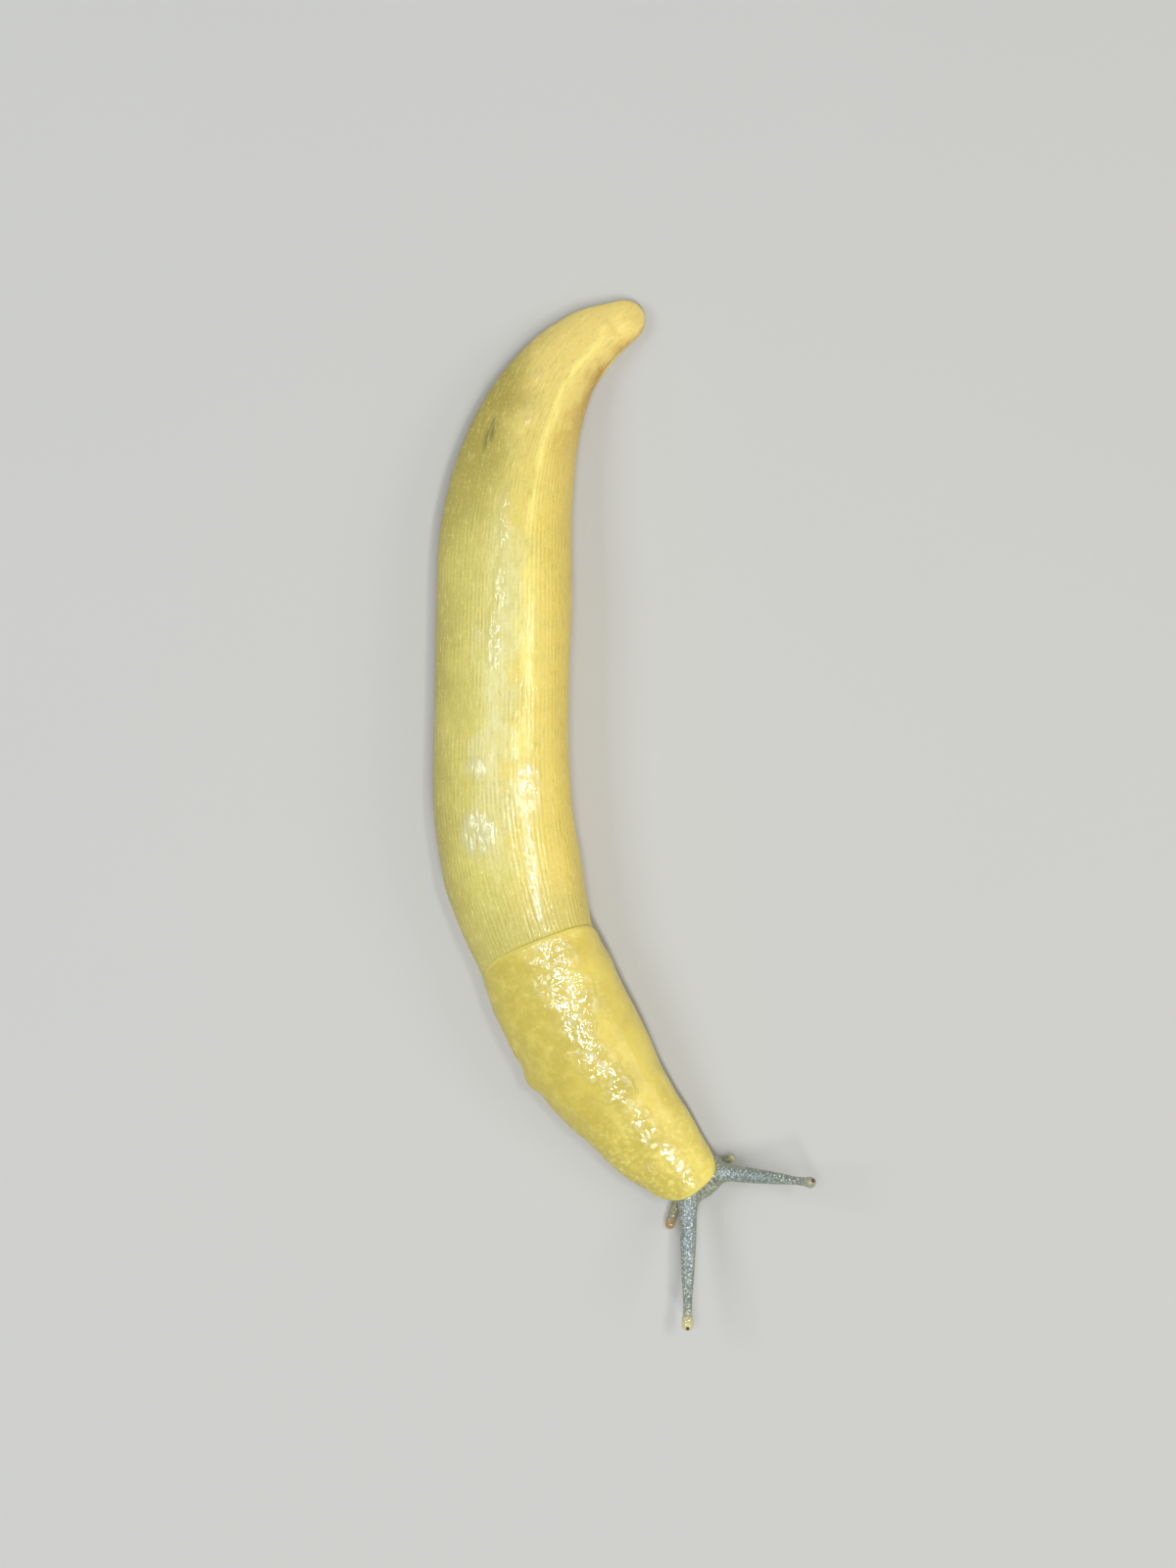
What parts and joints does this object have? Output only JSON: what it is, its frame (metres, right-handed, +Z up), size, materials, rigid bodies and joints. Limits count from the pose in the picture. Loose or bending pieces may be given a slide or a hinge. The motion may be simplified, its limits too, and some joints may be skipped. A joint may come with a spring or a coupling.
{
  "type": "banana slug",
  "caption": "Life-size banana slug crawling in a long bend, with a mantle lobe over its front, a keeled tail, raised eye tentacles and a flat sole to rest on.",
  "frame": {"origin": "on the ground, under the middle of the whole outline seen from above", "axes": "+Z up from the sole, +Y towards the tail, -Y towards the head, +X to the side that the head turns to"},
  "size_m": [0.0738, 0.1996, 0.0185],
  "materials": {
    "back_skin": "moist skin in fine lengthwise rows of low bumps, with a thin wet gloss",
    "mantle_skin": "smooth, finely wrinkled wet skin with broken bright highlights",
    "foot_skin": "pale moist fringe with fine upright grooves",
    "head_skin": "grey-green moist skin, slightly see-through at its edges",
    "tentacle_skin": "grey-green grainy moist skin, slightly see-through",
    "feeler_skin": "tan-grey moist skin",
    "eye": "glossy dark brown"
  },
  "bodies": {
    "root": {"tail": "back_skin", "back_rear": "back_skin", "back_front": "back_skin", "shoulders": "back_skin", "head": "head_skin", "mantle": "mantle_skin", "foot_tail": "foot_skin", "foot_rear": "foot_skin", "foot_middle": "foot_skin", "foot_front": "foot_skin", "tentacle_right": "tentacle_skin", "tentacle_left": "tentacle_skin", "feeler_right": "feeler_skin", "feeler_left": "feeler_skin", "eye_right": "eye", "eye_left": "eye"}
  },
  "joints": []
}
